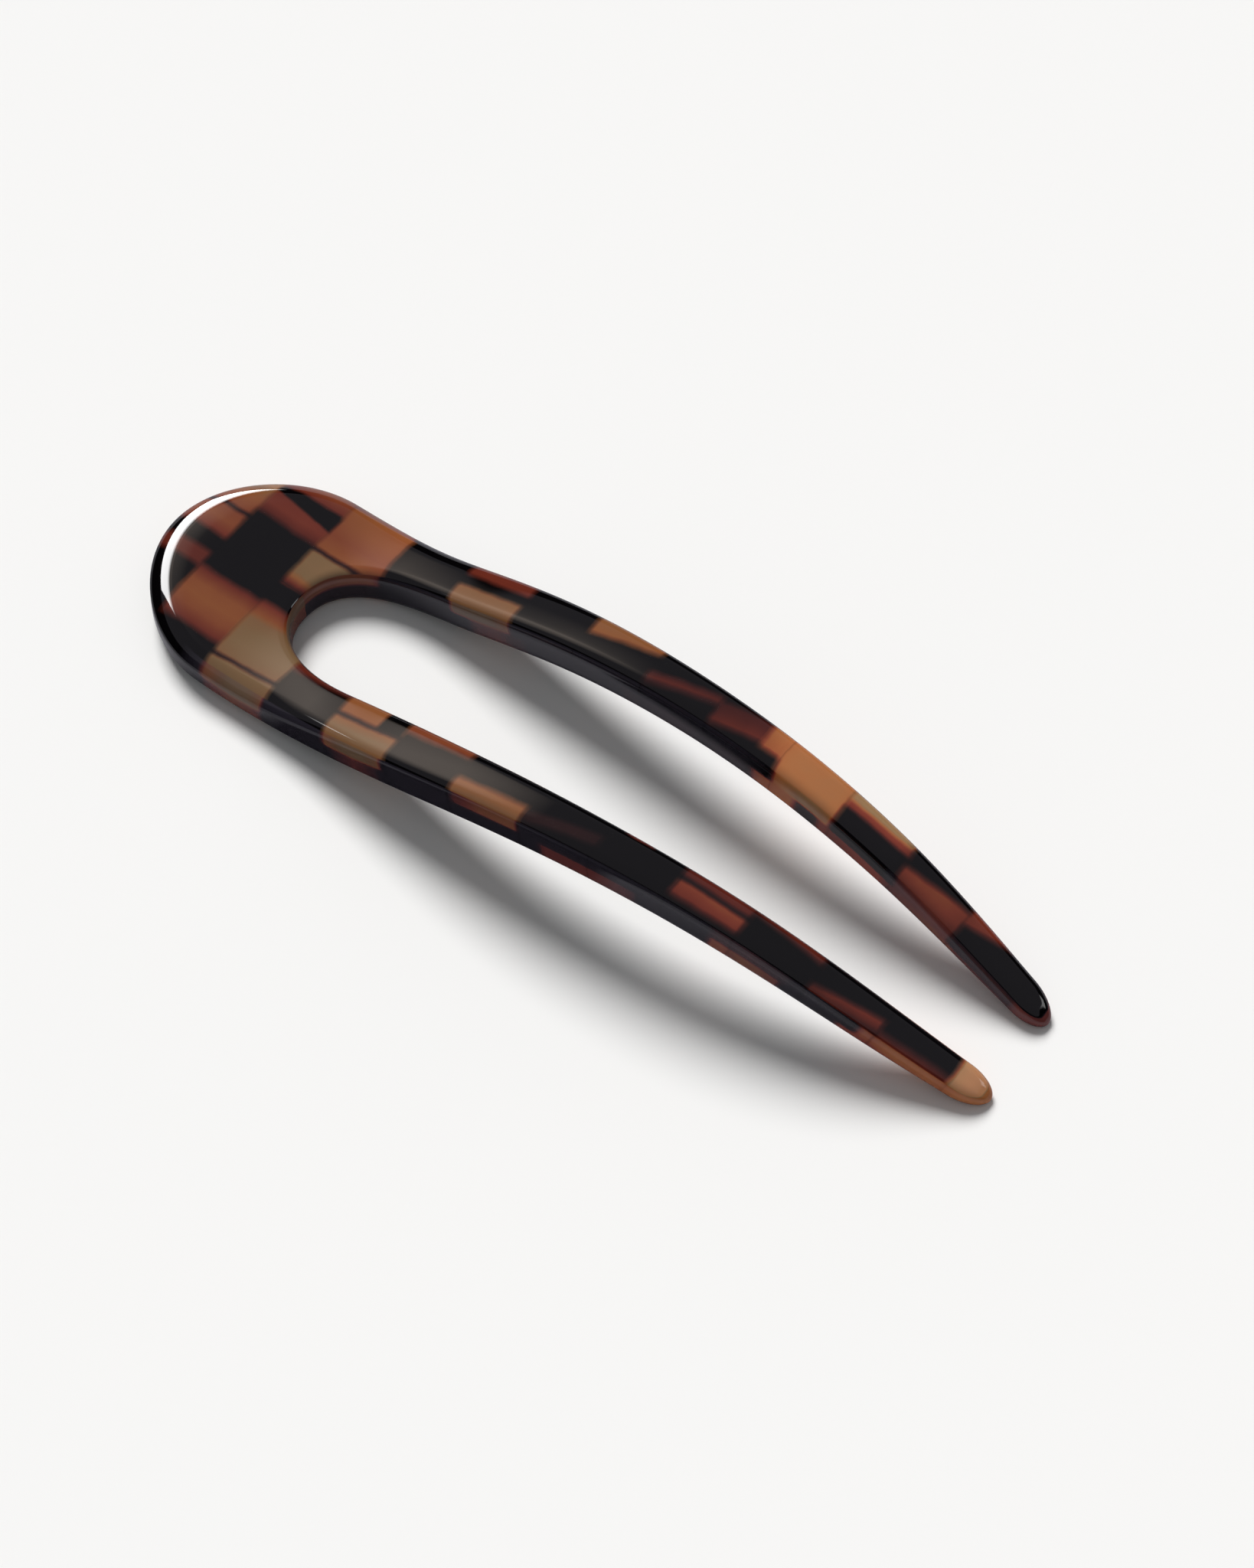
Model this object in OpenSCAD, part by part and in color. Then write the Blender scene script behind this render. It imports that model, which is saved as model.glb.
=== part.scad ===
// A french hair pin: one flat piece of stock with a round head and a long slot,
// bent into an arch so that it lies on the head and on both tips, with its crown a little up.
// X runs from the head to the tips, Y across the pin and Z up from the surface it lies on.
// The origin is halfway along the pin, on that surface.

/* [Whole pin] */
// Length from the crown of the head to the tips
pin_length = 114; // [95:1:135]
// Width across the head
head_width = 28; // [24:0.5:34]
// Thickness of the stock at the head
stock_thickness = 5.1; // [4:0.1:6.5]
// Rise of the arch, measured on its underside
arch_rise = 8.5; // [4:0.1:13]

/* [Head and slot] */
// Length of the round nose, from the crown to where the sides run straight on
nose_length = 14.7; // [11.5:0.1:18]
// Length of the solid head, from the crown to the slot
bridge_length = 18.8; // [15:0.2:24]
// Length of the slot's round end
slot_round = 14; // [9:0.5:17]

/* [Prongs] */
// Width of a prong at its root
prong_width = 6.5; // [5:0.1:8]
// Length of the round point on each tip
tip_round = 3.6; // [2.5:0.1:6]

/* [Edges] */
// How far the rounded edges reach in across the flat face
edge_across = 1.5; // [0.8:0.1:2.2]
// How far the rounded edges reach down the side
edge_down = 1.45; // [0.8:0.05:2]
// How far the head's rim, the roundest edge, reaches in across the flat face
rim_across = 2.8; // [1.6:0.1:3.6]
// How far the head's rim reaches down the side
rim_down = 1.7; // [1:0.05:2.2]

/* [Hidden] */

// Sections at equal steps from the crown to the tips, each a share of the size it follows:
// outline of half the head width, prong of the prong width at its root,
// stock of the stock thickness, lift of the arch rise, and
// rim from an edge like the others, at 0, to the head's rim, at 1
SECTION_SHARES = [
    // outline, prong, stock, lift, rim
    [0.959, 0.62, 1.00, 0.125, 1.00],
    [1.012, 0.74, 1.00, 0.035, 1.00],
    [1.026, 0.86, 1.00, -0.022, 0.95],
    [1.010, 0.985, 1.00, 0.065, 0.50],
    [1.028, 1.00, 1.00, 0.400, 0.10],
    [1.020, 0.945, 1.00, 0.710, 0.00],
    [0.985, 0.885, 1.00, 0.920, 0.00],
    [0.935, 0.82, 1.00, 1.020, 0.00],
    [0.880, 0.78, 1.00, 1.010, 0.00],
    [0.820, 0.76, 0.95, 0.880, 0.00],
    [0.750, 0.73, 0.84, 0.625, 0.00],
    [0.655, 0.685, 0.68, 0.260, 0.00],
    [0.535, 0.59, 0.50, -0.090, 0.00]
];
OUTLINE_SHARES = [for (row = SECTION_SHARES) row[0]];
PRONG_SHARES = [for (row = SECTION_SHARES) row[1]];
STOCK_SHARES = [for (row = SECTION_SHARES) row[2]];
LIFT_SHARES = [for (row = SECTION_SHARES) row[3]];
RIM_SHARES = [for (row = SECTION_SHARES) row[4]];
section_steps = len(SECTION_SHARES) - 1;
section_step = pin_length / section_steps;

// Where the slot's round end meets its straight sides
root = bridge_length + slot_round;
// Powers of the rounded curves, where an ellipse has 2 and a fuller curve has more
nose_power = 1.95;
slot_power = 2.2;
edge_power = 2.4;
rim_power = 1.6;
// Most of a half width or half height that a rounded edge may take
edge_limit = 0.95;
// How deep the underside is worn flat where the pin lies on it
worn_depth = 0.15;

// Fineness: rings round the head, along a prong and round a tip, and steps in one edge
head_rings = 22;
prong_rings = 34;
tip_rings = 8;
edge_steps = 7;

// A section's share, with one more past each end on the same straight line
function row_share(shares, i) =
    i < 0 ? 2 * shares[0] - shares[1]
    : i > section_steps ? 2 * shares[section_steps] - shares[section_steps - 1]
    : shares[i];

// The cubic blend of four neighbouring rows, and its slope
function blend(f) = [
    pow(1 - f, 3),
    3 * pow(f, 3) - 6 * f * f + 4,
    -3 * pow(f, 3) + 3 * f * f + 3 * f + 1,
    pow(f, 3)
] / 6;
function blend_slope(f) = [
    -pow(1 - f, 2),
    3 * f * f - 4 * f,
    -3 * f * f + 2 * f + 1,
    f * f
] / 2;

// The rows round a place x along the pin, and how far x lies past the second of them
function row_at(x) = min(max(floor(x / section_step), 0), section_steps - 1);
function past_row(x) = x / section_step - row_at(x);
function four_shares(shares, x) = [for (j = [-1:2]) row_share(shares, row_at(x) + j)];
function share(shares, x) = blend(past_row(x)) * four_shares(shares, x);
function share_slope(shares, x) =
    blend_slope(past_row(x)) * four_shares(shares, x) / section_step;

// Sizes at a place x along the pin
function outline(x) = head_width / 2 * share(OUTLINE_SHARES, x);
function prong(x) = prong_width * share(PRONG_SHARES, x);
function stock(x) = stock_thickness * share(STOCK_SHARES, x);
function middle_height(x) = arch_rise * share(LIFT_SHARES, x) + stock(x) / 2;
function tilt(x) =
    atan(arch_rise * share_slope(LIFT_SHARES, x) + stock_thickness / 2 * share_slope(STOCK_SHARES, x));

// An edge as its reach across the face, its reach down the side and its power:
// the slot's edge is the same all round, the outline's turns into the head's rim
slot_edge = [edge_across, edge_down, edge_power];
rim_edge = [rim_across, rim_down, rim_power];
function outline_edge(x) = slot_edge + (rim_edge - slot_edge) * share(RIM_SHARES, x);

// How much of the full width the round nose leaves at x
function nose(x) =
    pow(1 - pow(max(nose_length - x, 0) / nose_length, nose_power), 1 / nose_power);

// Pace at which the outer ends of the head's rings run along the nose, so that
// they and the inner ends reach the root together
ring_pace = 3 - slot_round * PI / (2 * root);
function outer_reach(t) = root * t * t * (ring_pace - (ring_pace - 1) * t);

// The cosine or sine of a turn, drawn out to a curve of another power
function fuller(c, power) = sign(c) * pow(abs(c), 2 / power);

// A ring as its inner point, its outer point and how full it is, from 1 down to 0 at a tip
function head_ring(t) =
    let (
        inner_x = bridge_length + slot_round * (1 - fuller(cos(90 * t), slot_power)),
        outer_x = outer_reach(t),
        half_gap = outline(inner_x) - prong(inner_x)
    )
    [
        [inner_x, half_gap * fuller(sin(90 * t), slot_power)],
        [outer_x, outline(outer_x) * nose(outer_x)],
        1
    ];
function prong_ring(x, full) =
    let (
        half = prong(x) / 2,
        middle = outline(x) - half
    )
    [[x, middle - half * full], [x, middle + half * full], full];

rings = concat(
    [for (i = [0:head_rings]) head_ring(i / head_rings)],
    [for (i = [1:prong_rings]) prong_ring(root + (pin_length - tip_round - root) * i / prong_rings, 1)],
    [for (i = [1:tip_rings - 1])
        let (turn = 90 * i / tip_rings)
        prong_ring(pin_length - tip_round * (1 - sin(turn)), cos(turn))]
);

// The section of a ring: the outline's edge above and below on one side and the slot's
// on the other, joined by straight faces
function section_points(half_width, half_height, outer_edge, full) =
    [for (corner = [0:3]) for (i = [0:edge_steps])
        let (
            turn = 90 * (corner + i / edge_steps),
            right = corner == 0 || corner == 3 ? 1 : -1,
            top = corner < 2 ? 1 : -1,
            edge = right > 0 ? outer_edge : slot_edge,
            across = min(edge[0] * full, edge_limit * half_width),
            down = min(edge[1] * full, edge_limit * half_height)
        )
        [
            right * (half_width - across) + across * fuller(cos(turn), edge[2]),
            top * (half_height - down) + down * fuller(sin(turn), edge[2])
        ]];

// A point of the flat stock, at x along it, y across it and w above its middle, on the arch
function arched(x, y, w) = [
    x - w * sin(tilt(x)) - pin_length / 2,
    y,
    max(middle_height(x) + w * cos(tilt(x)) - worn_depth, 0)
];
function ring_points(ring, side) =
    let (
        span = ring[1] - ring[0],
        half_width = norm(span) / 2,
        middle = (ring[0] + ring[1]) / 2,
        across = span / norm(span)
    )
    [for (p = section_points(half_width, stock(middle.x) / 2 * ring[2], outline_edge(ring[1].x), ring[2]))
        arched(middle.x + across.x * p[0], side * (middle.y + across.y * p[0]), p[1])];
function tip_point(side) =
    arched(pin_length, side * (outline(pin_length) - prong(pin_length) / 2), 0);

module pin() {
    far_side = [for (i = [len(rings) - 1:-1:0]) ring_points(rings[i], 1)];
    near_side = [for (i = [1:len(rings) - 1]) ring_points(rings[i], -1)];
    all_rings = concat(far_side, near_side);
    around = len(all_rings[0]);
    last_ring = len(all_rings) - 1;
    points = concat([for (ring = all_rings) each ring], [tip_point(1), tip_point(-1)]);
    far_tip = len(points) - 2;
    near_tip = len(points) - 1;
    walls = [for (r = [0:last_ring - 1]) for (j = [0:around - 1])
        let (
            a = r * around + j,
            b = r * around + (j + 1) % around
        )
        each [[a, b, b + around], [a, b + around, a + around]]];
    far_cap = [for (j = [0:around - 1]) [far_tip, (j + 1) % around, j]];
    near_start = last_ring * around;
    near_cap = [for (j = [0:around - 1]) [near_tip, near_start + j, near_start + (j + 1) % around]];
    color([0.24, 0.13, 0.08])
        polyhedron(points = points, faces = concat(walls, far_cap, near_cap), convexity = 6);
}

pin();
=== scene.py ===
"""A tortoiseshell french hair pin lying on a pale table.

The pin is one surface worked out with numpy from the sizes the solid has, only finer:
rounded sections carried along a path of rings, from one tip round the head to the other.
Its top is crowned a little across, as hand polishing leaves it.
"""
import math

import bpy
import numpy as np
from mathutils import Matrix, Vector


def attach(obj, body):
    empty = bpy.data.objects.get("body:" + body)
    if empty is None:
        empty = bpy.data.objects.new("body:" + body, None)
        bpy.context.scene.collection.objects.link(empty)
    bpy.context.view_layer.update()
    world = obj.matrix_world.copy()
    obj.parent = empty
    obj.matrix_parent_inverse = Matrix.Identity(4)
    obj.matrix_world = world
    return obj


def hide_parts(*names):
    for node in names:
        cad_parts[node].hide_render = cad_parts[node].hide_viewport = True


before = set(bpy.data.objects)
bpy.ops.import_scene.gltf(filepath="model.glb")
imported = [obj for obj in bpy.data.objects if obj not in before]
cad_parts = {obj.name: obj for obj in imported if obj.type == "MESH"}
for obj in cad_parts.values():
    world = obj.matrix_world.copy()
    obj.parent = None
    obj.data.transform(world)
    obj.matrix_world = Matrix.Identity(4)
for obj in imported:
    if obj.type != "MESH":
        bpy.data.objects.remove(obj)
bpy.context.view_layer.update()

MM = 0.001

# Sizes of the pin in millimetres, as the solid has them
PIN_LENGTH = 114.0
HEAD_WIDTH = 28.0
STOCK_THICKNESS = 5.1
ARCH_RISE = 8.5
NOSE_LENGTH = 14.7
BRIDGE_LENGTH = 18.8
SLOT_ROUND = 14.0
PRONG_WIDTH = 6.5
TIP_ROUND = 3.6
NOSE_POWER = 1.95
SLOT_POWER = 2.2
EDGE_LIMIT = 0.95
WORN_DEPTH = 0.15
# The slot's edge and the head's rim, each as its reach across the face, its reach down the
# side and its power. The rim is a little crisper than the solid's.
SLOT_EDGE = np.array([1.5, 1.45, 2.4])
RIM_EDGE = np.array([2.8, 1.6, 1.35])
# How far the top face falls from its middle to its sides
FACE_CROWN = 0.05
# Sections at equal steps from the crown to the tips, as shares of the size each follows
SECTION_SHARES = np.array([
    # outline, prong, stock, lift, rim
    [0.959, 0.62, 1.00, 0.125, 1.00],
    [1.012, 0.74, 1.00, 0.035, 1.00],
    [1.026, 0.86, 1.00, -0.022, 0.95],
    [1.010, 0.985, 1.00, 0.065, 0.50],
    [1.028, 1.00, 1.00, 0.400, 0.10],
    [1.020, 0.945, 1.00, 0.710, 0.00],
    [0.985, 0.885, 1.00, 0.920, 0.00],
    [0.935, 0.82, 1.00, 1.020, 0.00],
    [0.880, 0.78, 1.00, 1.010, 0.00],
    [0.820, 0.76, 0.95, 0.880, 0.00],
    [0.750, 0.73, 0.84, 0.625, 0.00],
    [0.655, 0.685, 0.68, 0.260, 0.00],
    [0.535, 0.59, 0.50, -0.090, 0.00],
])
OUTLINE, PRONG, STOCK, LIFT, RIM = range(5)
SECTION_STEP = PIN_LENGTH / (len(SECTION_SHARES) - 1)


def rows_round(column, x):
    """The four rows of shares round x, with one more row past each end on the same line, and
    how far x lies past the second of them, in steps."""
    rows = SECTION_SHARES[:, column]
    rows = np.concatenate([[2 * rows[0] - rows[1]], rows, [2 * rows[-1] - rows[-2]]])
    i = np.clip(np.floor(x / SECTION_STEP), 0, len(SECTION_SHARES) - 2).astype(int)
    return rows[i], rows[i + 1], rows[i + 2], rows[i + 3], x / SECTION_STEP - i


def share(column, x):
    """The share at x: the cubic blend of the four rows round it."""
    a, b, c, d, f = rows_round(column, x)
    return ((1 - f) ** 3 * a + (3 * f ** 3 - 6 * f * f + 4) * b
            + (-3 * f ** 3 + 3 * f * f + 3 * f + 1) * c + f ** 3 * d) / 6


def share_slope(column, x):
    """The slope of that blend, per millimetre."""
    a, b, c, d, f = rows_round(column, x)
    return (-(1 - f) ** 2 * a + (3 * f * f - 4 * f) * b
            + (-3 * f * f + 2 * f + 1) * c + f * f * d) / 2 / SECTION_STEP


def outline(x):
    """Half the pin's width: half the head's width times its share at x."""
    return HEAD_WIDTH / 2 * share(OUTLINE, x)


def prong(x):
    """A prong's width: the width at its root times its share at x."""
    return PRONG_WIDTH * share(PRONG, x)


def stock(x):
    """The stock's thickness: the thickness at the head times its share at x."""
    return STOCK_THICKNESS * share(STOCK, x)


def middle_height(x):
    """Height of the stock's middle: the arch's rise times its share at x, and half the stock."""
    return ARCH_RISE * share(LIFT, x) + stock(x) / 2


def tilt(x):
    """How far the stock leans at x: the angle whose tangent is the slope of its middle."""
    return np.arctan(ARCH_RISE * share_slope(LIFT, x) + STOCK_THICKNESS / 2 * share_slope(STOCK, x))


def outline_edge(x):
    """The edge round the outline, which turns from the slot's kind into the head's rim."""
    return SLOT_EDGE + (RIM_EDGE - SLOT_EDGE) * share(RIM, x)[..., None]


def nose(x):
    """What the round nose leaves of the width: one minus a power of the distance into it."""
    return (1 - (np.maximum(NOSE_LENGTH - x, 0) / NOSE_LENGTH) ** NOSE_POWER) ** (1 / NOSE_POWER)


def fuller(c, power):
    """The cosine or sine of a turn, drawn out to a curve fuller than an ellipse."""
    return np.sign(c) * np.abs(c) ** (2 / power)


def arched(x, y, w):
    """The flat stock bent up: w is laid off square to the middle plane, tilted at x, and the
    underside is worn flat where it would go below the table."""
    z = middle_height(x) + w * np.cos(tilt(x)) - WORN_DEPTH
    return np.stack([x - w * np.sin(tilt(x)) - PIN_LENGTH / 2, y, np.maximum(z, 0)], -1)


def half_pin(head_rings, prong_rings, tip_rings, edge_steps):
    """Rings of one half from the middle of the head to a tip: each ring joins a point of the
    slot's edge to a point of the outline, and carries a section with four rounded edges.
    A point is given by x and y in the flat sheet, its height over the sheet's middle, its
    depth below the top, and its places across and up as parts of the half width and height."""
    # Round the head a ring's inner end goes by a quarter turn round the end of the slot, and
    # its outer end goes along the nose, at a pace that brings both to the root together
    t = np.linspace(0, 1, head_rings + 1)
    turn = t * np.pi / 2
    root = BRIDGE_LENGTH + SLOT_ROUND
    pace = 3 - SLOT_ROUND * np.pi / (2 * root)
    slot_x = BRIDGE_LENGTH + SLOT_ROUND * (1 - fuller(np.cos(turn), SLOT_POWER))
    slot_y = (outline(slot_x) - prong(slot_x)) * fuller(np.sin(turn), SLOT_POWER)
    rim_x = root * t * t * (pace - (pace - 1) * t)
    rim_y = outline(rim_x) * nose(rim_x)
    # Along a prong the rings lie square to the pin, and round its tip they shrink as a
    # quarter circle does
    straight = root + (PIN_LENGTH - TIP_ROUND - root) * np.arange(1, prong_rings + 1) / prong_rings
    turn = np.pi / 2 * np.arange(1, tip_rings + 1) / tip_rings
    x = np.concatenate([straight, PIN_LENGTH - TIP_ROUND * (1 - np.sin(turn))])
    full = np.concatenate([np.ones_like(straight), np.cos(turn)])
    full[-1] = 0
    half = prong(x) / 2
    middle = outline(x) - half
    inner = np.stack([np.append(slot_x, x), np.append(slot_y, middle - half * full)], 1)
    outer = np.stack([np.append(rim_x, x), np.append(rim_y, middle + half * full)], 1)
    full = np.concatenate([np.ones_like(t), full])[:, None]
    # The section: the stock's rectangle with a quarter turn of a fuller curve at each corner
    width = np.linalg.norm(outer - inner, axis=1)[:, None]
    across = np.where(width > 0, (outer - inner) / np.maximum(width, 1e-9), [0, 1])
    centre = (inner + outer) / 2
    half_width = width / 2
    half_height = stock(centre[:, :1]) / 2 * full
    turn = np.concatenate([np.linspace(0, 0.5, edge_steps + 1) + k / 2 for k in range(4)]) * np.pi
    right = np.repeat([1, -1, -1, 1], edge_steps + 1)
    top = np.repeat([1, 1, -1, -1], edge_steps + 1)
    edge = np.where(right[:, None] > 0, outline_edge(outer[:, :1]), SLOT_EDGE)
    reach = np.minimum(edge[..., 0] * full, EDGE_LIMIT * half_width)
    down = np.minimum(edge[..., 1] * full, EDGE_LIMIT * half_height)
    v = right * (half_width - reach) + reach * fuller(np.cos(turn), edge[..., 2])
    w = top * (half_height - down) + down * fuller(np.sin(turn), edge[..., 2])
    return np.stack([centre[:, :1] + across[:, :1] * v, centre[:, 1:] + across[:, 1:] * v, w,
                     stock(centre[:, :1]) / 2 - w, v / np.maximum(half_width, 1e-9),
                     w / np.maximum(half_height, 1e-9)], -1)


def make_pin(name, head_rings=90, prong_rings=200, tip_rings=26, edge_steps=22, face_steps=8):
    """Both halves joined at the middle of the head; each tip's last ring is one point.
    Straight steps fill the faces between the rounded edges, and the top then sinks by the
    crown times the square of the place across. Each point's place in the flat sheet stays on
    the mesh for the pattern, in millimetres: from the crown, across and below the top face."""
    half = half_pin(head_rings, prong_rings, tip_rings, edge_steps)
    flat = np.concatenate([half[::-1], half[1:] * [1, -1, 1, 1, 1, 1]])
    points = arched(flat[..., 0], flat[..., 1], flat[..., 2])
    upper_right, upper_left, lower_left, lower_right = np.split(
        np.concatenate([points, flat[..., [0, 1, 3, 4, 5]]], -1), 4, axis=1)
    steps = np.linspace(0, 1, face_steps + 1)[1:-1, None]
    top_face = upper_right[:, -1:] + (upper_left[:, :1] - upper_right[:, -1:]) * steps
    under_face = lower_left[:, -1:] + (lower_right[:, :1] - lower_left[:, -1:]) * steps
    places = np.concatenate([upper_right, top_face, upper_left, lower_left, under_face, lower_right], 1)
    across, up = places[..., 6], places[..., 7]
    places[..., 2] -= FACE_CROWN * across ** 2 * np.maximum(up, 0)
    # Every point of the first and of the last ring is the same one point
    rings, around = places.shape[:2]
    keep = np.ones((rings, around), bool)
    keep[0, 1:] = keep[-1, 1:] = False
    number = np.cumsum(keep.ravel()).reshape(rings, around) - 1
    number[0] = number[0, 0]
    number[-1] = number[-1, 0]
    places = places[keep]
    a, b = number[:-1], np.roll(number[:-1], -1, 1)
    c, d = np.roll(number[1:], -1, 1), number[1:]
    walls = np.stack([a, b, c, d], -1)[1:-1].reshape(-1, 4)
    caps = np.concatenate([np.stack([a, c, d], -1)[0], np.stack([a, b, d], -1)[-1]])
    mesh = bpy.data.meshes.new(name)
    mesh.from_pydata((places[:, :3] * MM).tolist(), [], walls.tolist() + caps.tolist())
    mesh.shade_smooth()
    store = mesh.attributes.new("sheet", "FLOAT_VECTOR", "POINT")
    store.data.foreach_set("vector", places[:, 3:6].astype(np.float32).ravel())
    mesh.validate()
    pin = bpy.data.objects.new(name, mesh)
    bpy.context.scene.collection.objects.link(pin)
    return pin


def linear(hex_colour):
    """An sRGB colour as written in hex, turned to linear light."""
    parts = [int(hex_colour[i:i + 2], 16) / 255 for i in (1, 3, 5)]
    return [p / 12.92 if p <= 0.04045 else ((p + 0.055) / 1.055) ** 2.4 for p in parts] + [1.0]


def add(tree, kind, links=(), stops=(), **settings):
    """Adds a node. Links pair an input with the socket that feeds it or with its value, and
    stops are a ramp's places with their greys or colours."""
    node = tree.nodes.new(kind)
    for key, value in settings.items():
        setattr(node, key, value)
    for key, value in dict(links).items():
        if isinstance(value, bpy.types.NodeSocket):
            tree.links.new(value, node.inputs[key])
        else:
            node.inputs[key].default_value = value
    for i, (place, colour) in enumerate(stops):
        ramp = node.color_ramp.elements
        if i == 0:
            ramp.remove(ramp[1])
        mark = ramp[0] if i == 0 else ramp.new(place)
        mark.position = place
        if isinstance(colour, str):
            colour = linear(colour)
        mark.color = colour if isinstance(colour, list) else (colour, colour, colour, 1)
    return node


pin = make_pin("tortoiseshell_pin")
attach(pin, "root")
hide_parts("pin")

# Cellulose acetate, pressed from blocks of dyed chips, sawn, bent and then polished by hand.
# The eye sees chips of honey, amber, rust and black, deep under one glossy skin, on which
# lights draw sharp white lines and long soft hazes.
# The chips lie in columns about 8.8 mm long across the pin. A stain runs through one range of
# dye, from clear honey over amber and rust to black.
RUST, UMBER, BLACK = 0.50, 0.76, 1.0
STAIN_COLOURS = [
    (0.0, "#96694a"), (0.08, "#7d6144"), (0.12, "#785c40"), (0.17, "#735a3e"), (0.22, "#755237"),
    (0.28, "#825230"), (0.33, "#824b2a"), (0.39, "#783f26"), (0.46, "#6a2d20"), (0.55, "#562118"),
    (0.66, "#3b1613"), (0.78, "#221010"), (0.90, "#0b0607"), (1.0, "#050405"),
]
# A row of top chips runs across the pin, from 15 mm on the near side of its middle line to
# 15 mm on the far side, and a row of wall chips or of glow runs along it
ROW_START, ROW_WIDTH = -15, 30
ROW_LENGTH = 120
# The depth below the top face over which the walls are told from the faces
WALL_RAMP = 5
# Width of the seam between two chips of a row, and half of the one between two columns, at
# the ends of an odd chip and at its sides
SEAM = 0.9
HALF_COLUMN_SEAM = 0.4
HALF_END_SEAM = 0.3
HALF_SIDE_SEAM = 0.2

# The chips of the top face, charted. A column ends at its x from the crown; then come
# the slopes of its seams on the near and on the far prong, and its chips from the near side
# to the far side: a stain, or several spread over the chip, and the y where the chip ends.
TOP_CHIPS = [
    (6.9, 0, 0, [(BLACK, -4.0), (0.54, -1.9), (BLACK, 0.6), ((0.46, 0.38, 0.4), 4.5), (UMBER, 4.75),
                 ((0.4, 0.34, 0.22), 9.4), (0.02, 15)]),
    (15.6, 0, 0, [(BLACK, -10.7), ((0.5, 0.38, 0.34, 0.36, 0.5), -3.6), (BLACK, 6.1),
                  ((0.56, 0.47, 0.48, 0.52), 10.2), (BLACK, 10.8), ((0.5, 0.4, 0.36), 15)]),
    (24.5, 0.05, 0, [((0.2, 0.15), -11.65), (UMBER, -11.45), ((0.2, 0.14, 0.16, 0.2), -5.2),
                     ((0.36, 0.46), -3.05), (BLACK, 0.3), ((0.5, 0.28), 1.6), ((0.16, 0.12, 0.14), 5.72),
                     (UMBER, 5.95), ((0.35, 0.4, 0.36, 0.34, 0.31), 15)]),
    (33.4, 0, 0, [(BLACK, -8.65), (0.52, 0), (BLACK, 15)]),
    (42.1, 0, 0, [((0.26, 0.2, 0.18, 0.26), -11.05), (UMBER, -10.8), (0.31, 0), ((0.25, 0.2, 0.23), 10.7),
                  (BLACK, 12.05), (0.5, 15)]),
    (50.7, 0.03, 0, [(BLACK, -9.65), (0.4, 0), (BLACK, 15)]),
    (59.5, 0.06, 0.125, [((0.27, 0.23, 0.29), -11.7), (BLACK, 11.75), ((0.3, 0.24), 15)]),
    (68.1, 0.2, 0.19, [(BLACK, -12.1), (0.78, -10.9), (BLACK, 9.5), ((0.7, 0.58, 0.64), 10.9),
                       (BLACK, 15)]),
    (74.2, 0, 0.17, [(BLACK, 8.7), ((0.56, 0.62, 0.66), 11.7), (BLACK, 15)]),
    (76.8, 0, 0, [(BLACK, 8.8), ((0.36, 0.3, 0.3), 15)]),
    (84.9, 0.08, 0, [(BLACK, -10.95), ((0.5, 0.42), -8.9), (0.8, -8.65), (0.58, 0),
                     ((0.34, 0.28, 0.27, 0.3), 15)]),
    (93.2, 0, -0.05, [(BLACK, -7.4), (0.54, 0), (BLACK, 8.85), ((0.52, 0.46), 9.55),
                      ((0.16, 0.05, 0.05), 15)]),
    (101.3, 0.27, 0.08, [(BLACK, -10.6), ((0.7, 0.58, 0.52), -8.5), (BLACK, 0), ((0.6, 0.52, 0.44), 8.1),
                         (BLACK, 15)]),
    (109.5, 0.16, 0.26, [((0.5, 0.6), -7.9), (BLACK, 0), (BLACK, 8.0), ((0.46, 0.36), 15)]),
    (114.0, 0, 0, [((0.1, 0.0, 0.0), 0), (BLACK, 15)]),
]
# Top chips that a straight row can't hold: the stain, x from and to, then the y of the lower
# and of the upper side at those two places
ODD_CHIPS = [
    (BLACK, 6.9, 15.6, (9.7, 8.3), (10.5, 10.5)),
    (BLACK, 38.9, 42.1, (-10.9, -10.9), (-8.0, -8.0)),
    (RUST, 69.5, 72.8, (-8.1, -8.0), (-7.0, -7.0)),
]
# The chips in the walls of the near and of the far prong, from the crown to the tips, in
# the upper and in the lower half of the thickness
NEAR_WALL = [
    [(BLACK, 15.2), ((0.3, 0.16, 0.2), 24.4), (BLACK, 33.2), ((0.24, 0.14, 0.2), 41.8), (BLACK, 50.9),
     ((0.52, 0.36, 0.28), 59.5), (BLACK, 82.3), ((0.76, 0.66, 0.74), 91.8), (BLACK, 99.5),
     ((0.38, 0.3), 108.8), (0.3, 120)],
    [(BLACK, 15.6), ((0.5, 0.36, 0.46), 24.2), (BLACK, 34), ((0.7, 0.55, 0.7), 41), (BLACK, 62),
     ((0.5, 0.44, 0.6), 74), (BLACK, 82.5), ((0.4, 0.32, 0.4), 91), (BLACK, 97.5),
     ((0.46, 0.34), 109.2), (0.34, 120)],
]
FAR_WALL = [
    [((0.3, 0.4), 24.3), (BLACK, 33.6), ((0.2, 0.14, 0.24), 42.2), (BLACK, 76.9),
     ((0.3, 0.2, 0.24), 84.9), (BLACK, 93.2), ((0.52, 0.44), 101.3), ((0.8, 0.7), 110), (0.5, 120)],
    [(0.86, 24.6), (BLACK, 36), ((0.6, 0.5, 0.72), 44), (BLACK, 57), (0.77, 74.6),
     ((0.4, 0.32, 0.36), 80.4), (0.88, 83.4), (0.5, 85.2), ((0.56, 0.48, 0.44), 96.6),
     ((0.42, 0.34), 102.3), ((0.5, 0.46), 110.5), (0.36, 120)],
]
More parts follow.
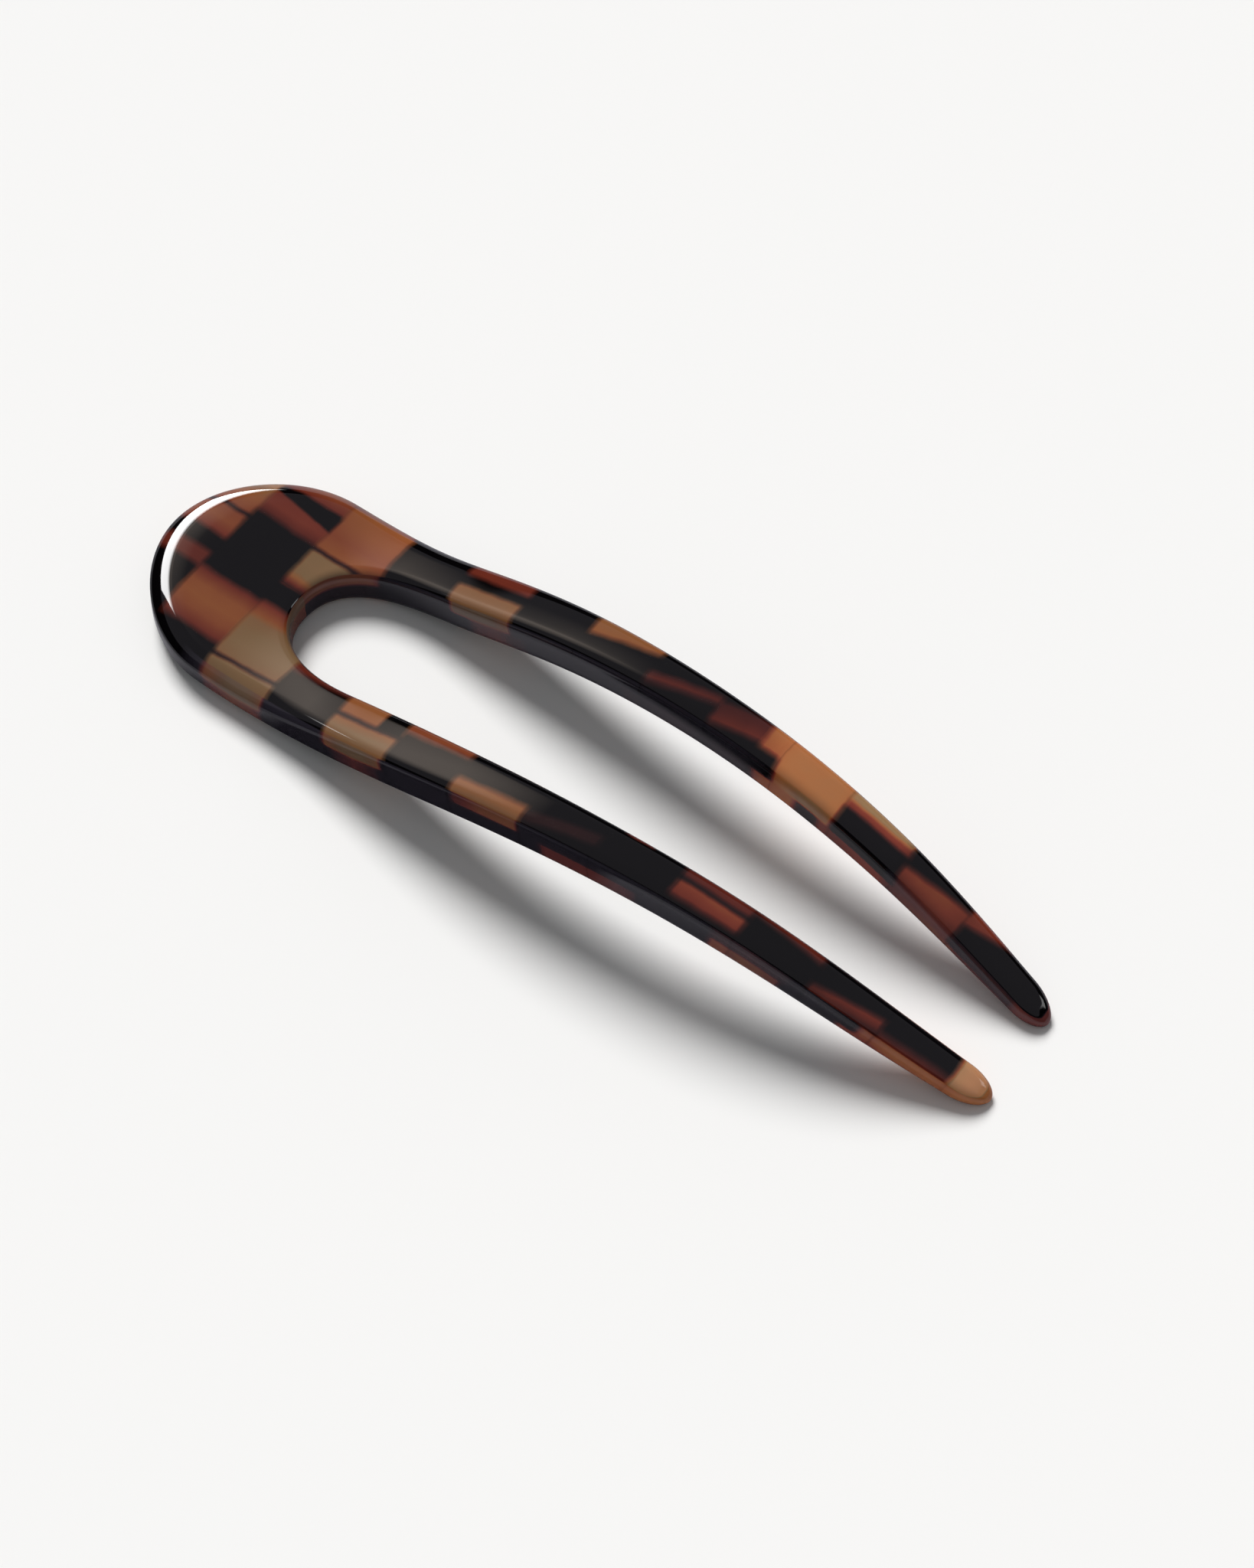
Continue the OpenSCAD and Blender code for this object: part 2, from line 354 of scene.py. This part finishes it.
# How much painted light, standing for the light that comes up through the near and the far
# prong where the acetate is clear from top to bottom, is added, as a share of the most there is
NEAR_GLOW = [(0.0, 76), ((0.15, 0.35), 84.9), (0.0, 95), ((0.3, 0.8, 0.9), 109), (1.0, 120)]
FAR_GLOW = [(0.0, 17), ((0.0, 0.3), 24.3), (0.0, 72), ((0.2, 1.0, 1.0, 1.0), 86), (1.0, 92.5),
            ((0.2, 0.3, 0.3), 120)]
# The most that the painted light from below brightens the colour of a clear chip
MOST_GLOW = 0.85
# How much of a dye goes into the chips beside it, how much the clouds in a chip change its
# stain, how much the line at the end of a column darkens it, and how strong the painted
# reflection of the table on a wall is
CREEP = 0.06
CLOUD = 0.14
LINE_SHADE = 0.3
PAINTED_WALL_REFLECTION = 0.3


def dyed(stain):
    """The colour of a stain, in linear light: a straight blend of the two named ones beside it."""
    places = [place for place, colour in STAIN_COLOURS]
    colours = zip(*(linear(colour) for place, colour in STAIN_COLOURS))
    return [float(np.interp(stain, places, part)) for part in colours]


def charted(chips, start, length):
    """Places along a row of chips, as parts of its length, with the stain at each. Where two
    chips meet, the stain changes over a soft seam, which is narrower beside a thin chip."""
    marks, low = [], start
    for stains, high in chips:
        stains = stains if isinstance(stains, tuple) else (stains, stains)
        seam = min(SEAM, 0.4 * (high - low)) / 2
        marks += [((place - start) / length, stain)
                  for place, stain in zip(np.linspace(low + seam, high - seam, len(stains)), stains)]
        low = high
    return marks


acetate = bpy.data.materials.new("cellulose_acetate_tortoiseshell")
acetate.use_nodes = True
tree = acetate.node_tree
shader = tree.nodes["Principled BSDF"]

# Places in the sheet, in millimetres, with seams that wander by a tenth or two in waves of
# about 3 mm
sheet = add(tree, "ShaderNodeAttribute", attribute_name="sheet").outputs["Vector"]
wander = add(tree, "ShaderNodeTexNoise", {"Vector": sheet, "Scale": 0.35, "Detail": 2.0}).outputs["Color"]
wander = add(tree, "ShaderNodeVectorMath", {0: wander, 1: (0.5, 0.5, 0.5)}, operation="SUBTRACT").outputs[0]
place = add(tree, "ShaderNodeVectorMath", {0: wander, 1: (0.5, 0.5, 0.0), 2: sheet},
            operation="MULTIPLY_ADD").outputs[0]
x, y, depth = add(tree, "ShaderNodeSeparateXYZ", {0: place}).outputs
along = add(tree, "ShaderNodeMath", {0: x, 1: 1 / ROW_LENGTH}, operation="MULTIPLY").outputs[0]
far = add(tree, "ShaderNodeMath", {0: y, 1: 0.0}, operation="GREATER_THAN").outputs[0]
near = add(tree, "ShaderNodeMath", {0: 1.0, 1: far}, operation="SUBTRACT").outputs[0]
near_x = add(tree, "ShaderNodeMath", {0: x, 1: near}, operation="MULTIPLY").outputs[0]
far_x = add(tree, "ShaderNodeMath", {0: x, 1: far}, operation="MULTIPLY").outputs[0]
slid = add(tree, "ShaderNodeCombineXYZ", {0: near_x, 1: far_x, 2: y}).outputs[0]
sides = add(tree, "ShaderNodeCombineXYZ", {0: near, 1: far, 2: 1.0}).outputs[0]

# Column after column: y is slid along the slope of the seams, measured from the middle of
# the column, and picks the stain from the column's row of chips. The same chips are also
# laid in plain colours, for seams that are a plain blend.
top_stain = top_plain = None
begin = 0.0
for end, near_slope, far_slope, chips in TOP_CHIPS:
    middle = (begin + end) / 2
    slopes = (-near_slope / ROW_WIDTH, -far_slope / ROW_WIDTH, 1 / ROW_WIDTH)
    y_slid = add(tree, "ShaderNodeVectorMath", {0: slid, 1: slopes},
                 operation="DOT_PRODUCT").outputs["Value"]
    offsets = (near_slope * middle / ROW_WIDTH, far_slope * middle / ROW_WIDTH, -ROW_START / ROW_WIDTH)
    offset = add(tree, "ShaderNodeVectorMath", {0: sides, 1: offsets},
                 operation="DOT_PRODUCT").outputs["Value"]
    across = add(tree, "ShaderNodeMath", {0: y_slid, 1: offset}, operation="ADD").outputs[0]
    marks = charted(chips, ROW_START, ROW_WIDTH)
    colours = [(mark, dyed(stain)) for mark, stain in marks]
    plain = add(tree, "ShaderNodeValToRGB", {0: across}, colours).outputs[0]
    stain = add(tree, "ShaderNodeValToRGB", {0: across}, marks).outputs[0]
    if top_stain is None:
        top_stain, top_plain = stain, plain
    else:
        past = add(tree, "ShaderNodeMapRange",
                   {0: x, 1: begin - HALF_COLUMN_SEAM, 2: begin + HALF_COLUMN_SEAM}).outputs[0]
        top_stain = add(tree, "ShaderNodeMix", {0: past, 2: top_stain, 3: stain},
                        data_type="FLOAT").outputs[0]
        top_plain = add(tree, "ShaderNodeMix", {0: past, 6: top_plain, 7: plain},
                        data_type="RGBA").outputs[2]
    begin = end

# An odd chip shows inside its two ends and its two sides
for stain, x_from, x_to, low, high in ODD_CHIPS:
    chip = add(tree, "ShaderNodeMapRange",
               {0: x, 1: x_from - HALF_END_SEAM, 2: x_from + HALF_END_SEAM}).outputs[0]
    inside = add(tree, "ShaderNodeMapRange",
                 {0: x, 1: x_to + HALF_END_SEAM, 2: x_to - HALF_END_SEAM}).outputs[0]
    chip = add(tree, "ShaderNodeMath", {0: chip, 1: inside}, operation="MULTIPLY").outputs[0]
    for (at_from, at_to), sign in ((low, 1), (high, -1)):
        slope = (at_to - at_from) / (x_to - x_from)
        level = add(tree, "ShaderNodeVectorMath", {0: place, 1: (-slope * sign, sign, 0)},
                    operation="DOT_PRODUCT").outputs["Value"]
        at = (at_from - slope * x_from) * sign
        inside = add(tree, "ShaderNodeMapRange",
                     {0: level, 1: at - HALF_SIDE_SEAM, 2: at + HALF_SIDE_SEAM}).outputs[0]
        chip = add(tree, "ShaderNodeMath", {0: chip, 1: inside}, operation="MULTIPLY").outputs[0]
    top_stain = add(tree, "ShaderNodeMix", {0: chip, 2: top_stain, 3: stain},
                    data_type="FLOAT").outputs[0]
    top_plain = add(tree, "ShaderNodeMix", {0: chip, 6: top_plain, 7: dyed(stain)},
                    data_type="RGBA").outputs[2]

# The walls show other chips of the block, from 0.4 mm under the top face to 4.4 mm under it,
# with a second row from about 2 mm down. They begin where the nose ends.
lower_half = add(tree, "ShaderNodeMapRange", {0: depth, 1: 1.7, 2: 2.3}).outputs[0]
walls = []
for rows in (NEAR_WALL, FAR_WALL):
    upper, lower = [add(tree, "ShaderNodeValToRGB", {0: along}, charted(row, 0, ROW_LENGTH)).outputs[0]
                    for row in rows]
    walls.append(add(tree, "ShaderNodeMix", {0: lower_half, 2: upper, 3: lower},
                     data_type="FLOAT").outputs[0])
wall_stain = add(tree, "ShaderNodeMix", {0: far, 2: walls[0], 3: walls[1]}, data_type="FLOAT").outputs[0]
down = add(tree, "ShaderNodeMath", {0: depth, 1: 1 / WALL_RAMP}, operation="MULTIPLY").outputs[0]
wall_marks = [(0.0, 0.0), (0.375, 0.0), (0.45, 1.0), (4.3, 1.0), (4.5, 0.0)]
in_wall = add(tree, "ShaderNodeValToRGB", {0: down},
              [(mark / WALL_RAMP, part) for mark, part in wall_marks]).outputs[0]
past_nose = add(tree, "ShaderNodeMapRange", {0: x, 1: 12.0, 2: 15.5}).outputs[0]
in_wall = add(tree, "ShaderNodeMath", {0: in_wall, 1: past_nose}, operation="MULTIPLY").outputs[0]
on_top = add(tree, "ShaderNodeMath", {0: 1.0, 1: in_wall}, operation="SUBTRACT").outputs[0]
stain = add(tree, "ShaderNodeMix", {0: in_wall, 2: top_stain, 3: wall_stain}, data_type="FLOAT").outputs[0]

# The dye creeps into a chip from the columns beside it, and the chips are cloudy inside, in
# clouds of 4 to 5 mm. Beside is 1 where a column ends and 0 at its middle.
seams = [column[0] for column in TOP_CHIPS[:-1]]
middles = [(low + high) / 2 for low, high in zip([-1] + seams, seams + [ROW_LENGTH - 1])]
marks = sorted([(seam / ROW_LENGTH, 1.0) for seam in seams]
               + [(max(middle, 0) / ROW_LENGTH, 0.0) for middle in middles])
beside = add(tree, "ShaderNodeValToRGB", {0: along}, marks).outputs[0]
creep = add(tree, "ShaderNodeMath", {0: beside, 1: 3.0}, operation="POWER").outputs[0]
stain = add(tree, "ShaderNodeMath", {0: creep, 1: CREEP, 2: stain}, operation="MULTIPLY_ADD").outputs[0]
cloud = add(tree, "ShaderNodeTexNoise", {"Vector": sheet, "Scale": 0.22, "Detail": 3.0}).outputs["Fac"]
cloud = add(tree, "ShaderNodeMath", {0: cloud, 1: 0.5}, operation="SUBTRACT").outputs[0]
stain = add(tree, "ShaderNodeMath", {0: cloud, 1: CLOUD, 2: stain}, operation="MULTIPLY_ADD").outputs[0]
colour = add(tree, "ShaderNodeValToRGB", {0: stain}, STAIN_COLOURS).outputs[0]

# Between a clear and a black chip the stain passes through amber and red. On the top that is
# for the most part a plain brown blend, less so towards the tips, where more red shows.
plainer = add(tree, "ShaderNodeMapRange", {0: x, 1: 62.0, 2: 76.0, 3: 0.75, 4: 0.3}).outputs[0]
plainer = add(tree, "ShaderNodeMath", {0: plainer, 1: on_top}, operation="MULTIPLY").outputs[0]
colour = add(tree, "ShaderNodeMix", {0: plainer, 6: colour, 7: top_plain}, data_type="RGBA").outputs[2]

# Light from the table that comes up through the clear ends of the prongs is painted in as a
# brighter colour. Elsewhere the sawn and polished walls get a painted reflection of the pale
# table: their colour is blended towards a violet grey.
near_glow, far_glow = [add(tree, "ShaderNodeValToRGB", {0: along}, charted(row, 0, ROW_LENGTH)).outputs[0]
                       for row in (NEAR_GLOW, FAR_GLOW)]
glow = add(tree, "ShaderNodeMix", {0: far, 2: near_glow, 3: far_glow}, data_type="FLOAT").outputs[0]
# Painted reflection of the table on the walls: the colour goes towards a violet grey, less where the prong
# is clear
painted_reflection = add(tree, "ShaderNodeMath", {0: glow, 1: -PAINTED_WALL_REFLECTION, 2: PAINTED_WALL_REFLECTION},
            operation="MULTIPLY_ADD").outputs[0]
painted_reflection = add(tree, "ShaderNodeMath", {0: in_wall, 1: painted_reflection}, operation="MULTIPLY").outputs[0]
colour = add(tree, "ShaderNodeMix", {0: painted_reflection, 6: colour, 7: linear("#45414d")}, data_type="RGBA").outputs[2]
# Painted light from below: the colour is made brighter where the prong is clear
glow = add(tree, "ShaderNodeMath", {0: glow, 1: MOST_GLOW, 2: 1.0}, operation="MULTIPLY_ADD").outputs[0]
colour = add(tree, "ShaderNodeVectorMath", {0: colour, "Scale": glow}, operation="SCALE").outputs[0]
# A thin darker line marks the end of each column
line = add(tree, "ShaderNodeMapRange", {0: beside, 1: 0.93, 2: 0.985, 3: 1.0, 4: 1 - LINE_SHADE}).outputs[0]
colour = add(tree, "ShaderNodeVectorMath", {0: colour, "Scale": line}, operation="SCALE").outputs[0]
tree.links.new(colour, shader.inputs["Base Color"])
shader.inputs["Roughness"].default_value = 0.045
shader.inputs["IOR"].default_value = 1.48
pin.data.materials.append(acetate)

# The table: matt white paper. The gloss sees it dimmer than the eye does, and sees black
# where a black card lies outside the near prong and another under the arch, which keeps the
# walls there deep black.
PALE = "#f8f7f5"
PALE_IN_GLOSS = "#b0aeb4"
BLACK_CARD = "#0a0a0a"
# The black cards in millimetres, x from and to, then y from and to, and how soft their sides
# are across x and across y
BLACK_CARDS = [(-33, 10, -400, -12.8), (-7, 16, -11, 1.7)]
SOFT_X, SOFT_Y = 1.5, 0.6
# Half of the table's side, in metres
TABLE_HALF = 3
table = bpy.data.objects.new("table", bpy.data.meshes.new("table"))
corners = [(TABLE_HALF * a, TABLE_HALF * b, 0) for a, b in ((-1, -1), (1, -1), (1, 1), (-1, 1))]
table.data.from_pydata(corners, [], [(0, 1, 2, 3)])
bpy.context.scene.collection.objects.link(table)
paper = bpy.data.materials.new("table_paper")
paper.use_nodes = True
tree = paper.node_tree
shader = tree.nodes["Principled BSDF"]
shader.inputs["Roughness"].default_value = 0.9
shader.inputs["Specular IOR Level"].default_value = 0.0
spot = add(tree, "ShaderNodeTexCoord").outputs["Object"]
spot = add(tree, "ShaderNodeSeparateXYZ", {0: spot}).outputs
carded = 0.0
for x_from, x_to, y_from, y_to in BLACK_CARDS:
    card = 1.0
    for axis, side, soft in ((0, x_from, -SOFT_X), (0, x_to, SOFT_X),
                             (1, y_from, -SOFT_Y), (1, y_to, SOFT_Y)):
        inside = add(tree, "ShaderNodeMapRange",
                     {0: spot[axis], 1: (side + soft) * MM, 2: (side - soft) * MM}).outputs[0]
        card = add(tree, "ShaderNodeMath", {0: inside, 1: card}, operation="MULTIPLY").outputs[0]
    carded = add(tree, "ShaderNodeMath", {0: carded, 1: card}, operation="MAXIMUM").outputs[0]
dimmed = add(tree, "ShaderNodeMix", {0: carded, 6: linear(PALE_IN_GLOSS), 7: linear(BLACK_CARD)},
             data_type="RGBA").outputs[2]
gloss = add(tree, "ShaderNodeLightPath").outputs["Is Glossy Ray"]
seen = add(tree, "ShaderNodeMix", {0: gloss, 6: linear(PALE), 7: dimmed}, data_type="RGBA").outputs[2]
tree.links.new(seen, shader.inputs["Base Color"])
table.data.materials.append(paper)


def toward(azimuth, elevation):
    """The direction at two angles in degrees: round from +X, and up from the table."""
    a, e = math.radians(azimuth), math.radians(elevation)
    return np.array([math.cos(e) * math.cos(a), math.cos(e) * math.sin(a), math.sin(e)])


def facing_turn(azimuth, elevation):
    """The turn that points an object's own +Z in a direction, so that it looks back from it."""
    return Vector(toward(azimuth, elevation)).to_track_quat("Z", "Y").to_euler()


# A soft sun lights the table and casts the shadows. The gloss doesn't see it.
sun = bpy.data.lights.new("key", "SUN")
sun.energy = 3.3
sun.angle = math.radians(27)
key = bpy.data.objects.new("key", sun)
key.rotation_euler = facing_turn(146, 48)
key.visible_glossy = False
bpy.context.scene.collection.objects.link(key)


def make_card(name, centre, azimuth, elevation, turned, half_size, softness, strength, colour):
    """A card of light that only the gloss sees, square to a direction and turned about it.
    The light falls off over a soft width along each of its four sides. Sizes are in mm."""
    facing, level = toward(azimuth, elevation), toward(azimuth + 90, 0)
    c, s = math.cos(math.radians(turned)), math.sin(math.radians(turned))
    wide = c * level + s * np.cross(facing, level)
    high = np.cross(facing, wide)
    corners = [np.array(centre) + a * half_size[0] * wide + b * half_size[1] * high
               for a, b in ((-1, -1), (1, -1), (1, 1), (-1, 1))]
    card = bpy.data.objects.new(name, bpy.data.meshes.new(name))
    card.data.from_pydata([tuple(corner * MM) for corner in corners], [], [(0, 1, 2, 3)])
    bpy.context.scene.collection.objects.link(card)
    card.visible_camera = card.visible_diffuse = card.visible_shadow = card.visible_transmission = False
    glow = bpy.data.materials.new(name)
    glow.use_nodes = True
    tree = glow.node_tree
    tree.nodes.clear()
    where = add(tree, "ShaderNodeTexCoord").outputs["Object"]
    part = 1.0
    for axis, half, softs in ((wide, half_size[0], softness[:2]), (high, half_size[1], softness[2:])):
        for sign, soft in zip((1, -1), softs):
            inside = add(tree, "ShaderNodeVectorMath", {0: where, 1: -sign * axis / MM / soft},
                         operation="DOT_PRODUCT").outputs["Value"]
            side = half + sign * float(np.dot(centre, axis))
            inside = add(tree, "ShaderNodeMath", {0: inside, 1: side / soft}, operation="ADD",
                         use_clamp=True).outputs[0]
            part = add(tree, "ShaderNodeMath", {0: inside, 1: part}, operation="MULTIPLY").outputs[0]
    part = add(tree, "ShaderNodeMath", {0: part, 1: strength}, operation="MULTIPLY").outputs[0]
    light = add(tree, "ShaderNodeEmission", {"Color": linear(colour), "Strength": part}).outputs[0]
    clear = add(tree, "ShaderNodeBsdfTransparent").outputs[0]
    both = add(tree, "ShaderNodeAddShader", {0: light, 1: clear}).outputs[0]
    add(tree, "ShaderNodeOutputMaterial", {"Surface": both})
    card.data.materials.append(glow)


# A small bright card low behind the head draws the white crescent on its rim, and a large
# soft one leaves a haze on the tops of the prongs
make_card("rim_card", (-114.8, 20.3, 34.1), 106.4, 55.9, turned=72.1, half_size=(48.2, 22.2),
          softness=(1, 1, 11, 1), strength=19, colour="#ffffff")
make_card("haze_card", (-185.4, 67.1, 213.5), 175.6, -7.1, turned=25.4, half_size=(81, 139.2),
          softness=(116, 38, 162, 60), strength=1.68, colour="#ffeddc")

# The sky that the gloss sees: a dim wall above a dark floor line, and on the other side a
# small light on a flat sheet. Places on the sheet are the sky's directions over their depth.
# The floor line and the foot of the wall are sines of their heights, about 29 degrees up.
FLOOR_LINE, WALL_FOOT = 0.473, 0.487
DIM_WALL = (0.26, 0.25, 0.28)
LIGHT_STRENGTH = 3
world = bpy.data.worlds.new("studio")
world.use_nodes = True
bpy.context.scene.world = world
tree = world.node_tree
tree.nodes.clear()
place = add(tree, "ShaderNodeTexCoord").outputs["Generated"]
height = add(tree, "ShaderNodeSeparateXYZ", {0: place}).outputs["Z"]
dim = add(tree, "ShaderNodeMapRange", {0: height, 1: FLOOR_LINE, 2: WALL_FOOT}).outputs[0]
sky = add(tree, "ShaderNodeVectorMath", {0: dim, 1: DIM_WALL}, operation="MULTIPLY").outputs[0]
facing, level = toward(40, 25), toward(40 + 90, 0)
depth, along, up = [add(tree, "ShaderNodeVectorMath", {0: place, 1: axis},
                        operation="DOT_PRODUCT").outputs["Value"]
                    for axis in (facing, level, np.cross(facing, level))]
part = add(tree, "ShaderNodeMath", {0: depth, 1: 0.05}, operation="GREATER_THAN").outputs[0]
for on_sheet, dark, bright in ((along, 0.14, 0.1), (up, 0.1, 0.07)):
    on_sheet = add(tree, "ShaderNodeMath", {0: on_sheet, 1: depth}, operation="DIVIDE").outputs[0]
    for sign in (-1, 1):
        inside = add(tree, "ShaderNodeMapRange", {0: on_sheet, 1: sign * dark, 2: sign * bright},
                     interpolation_type="SMOOTHSTEP").outputs[0]
        part = add(tree, "ShaderNodeMath", {0: part, 1: inside}, operation="MULTIPLY").outputs[0]
sky = add(tree, "ShaderNodeVectorMath", {0: part, 1: [LIGHT_STRENGTH] * 3, 2: sky},
          operation="MULTIPLY_ADD").outputs[0]
# Everything else gets an even light, and the camera sees the pale colour of the table
ray = add(tree, "ShaderNodeLightPath").outputs
light = add(tree, "ShaderNodeMix", {0: ray["Is Glossy Ray"], 4: (0.216, 0.22, 0.227), 5: sky},
            data_type="VECTOR").outputs[1]
light = add(tree, "ShaderNodeMix", {0: ray["Is Camera Ray"], 4: light, 5: linear(PALE)[:3]},
            data_type="VECTOR").outputs[1]
background = add(tree, "ShaderNodeBackground", {"Color": light}).outputs[0]
add(tree, "ShaderNodeOutputWorld", {0: background})

# The camera, above the near side and looking down at the pin
lens = bpy.data.cameras.new("camera")
lens.sensor_fit = "VERTICAL"
lens.sensor_height = 36.0
lens.lens = 75.79
lens.clip_start = 0.01
camera = bpy.data.objects.new("camera", lens)
camera.location = (0.11977, -0.15408, 0.30278)
camera.rotation_euler = facing_turn(36.30 - 90, 57.11)
bpy.context.scene.collection.objects.link(camera)
bpy.context.scene.camera = camera
bpy.context.scene.view_settings.view_transform = "Standard"
